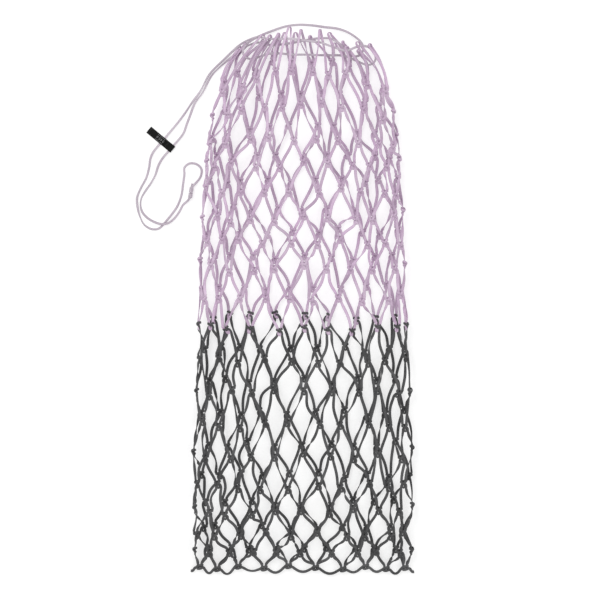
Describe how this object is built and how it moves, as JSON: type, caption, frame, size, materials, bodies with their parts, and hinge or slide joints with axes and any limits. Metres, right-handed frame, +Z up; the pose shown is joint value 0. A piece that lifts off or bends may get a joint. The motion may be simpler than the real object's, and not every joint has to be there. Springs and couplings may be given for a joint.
{
  "type": "hay net",
  "caption": "Knotted hay net of flat braid lying flat and empty, lilac at the mouth and charcoal at the closed end, with a draw cord round the mouth and a folded label on its two free ends.",
  "frame": {"origin": "middle of the net, without its free cord ends and label, on the surface that it lies on", "axes": "+Y along the net towards its mouth, +X across it, +Z up from the surface"},
  "size_m": [0.4595, 0.9064, 0.0337],
  "materials": {
    "lilac_braid": "flat braided polypropylene, slightly fuzzy, matt with a weak sheen",
    "charcoal_braid": "flat braided polypropylene, slightly fuzzy, matt with a weak sheen",
    "draw_cord": "flat braided cord, matt with a weak sheen",
    "label_ribbon": "woven ribbon, satin",
    "label_thread": "sewing thread, matt"
  },
  "bodies": {
    "net": {"lilac_course_01": "lilac_braid", "lilac_course_02": "lilac_braid", "lilac_course_03": "lilac_braid", "lilac_course_04": "lilac_braid", "lilac_course_05": "lilac_braid", "lilac_course_06": "lilac_braid", "lilac_course_07": "lilac_braid", "lilac_course_08": "lilac_braid", "lilac_course_09": "lilac_braid", "lilac_course_10": "lilac_braid", "charcoal_course_01": "charcoal_braid", "charcoal_course_02": "charcoal_braid", "charcoal_course_03": "charcoal_braid", "charcoal_course_04": "charcoal_braid", "charcoal_course_05": "charcoal_braid", "charcoal_course_06": "charcoal_braid", "charcoal_course_07": "charcoal_braid", "charcoal_course_08": "charcoal_braid", "closing_course": "charcoal_braid", "bottom_lacing": "charcoal_braid", "draw_cord_first_round": "draw_cord", "draw_cord_second_round": "draw_cord", "draw_cord_left_end": "draw_cord", "draw_cord_right_end": "draw_cord", "draw_cord_knot": "draw_cord"},
    "label": {"label_band": "label_ribbon", "label_stitching": "label_thread"}
  },
  "joints": [
    {"name": "label_slide", "type": "slide", "parent": "net", "child": "label", "axis": [-0.6402, -0.7682, 0], "range_m": [-0.02, 0.015]}
  ]
}
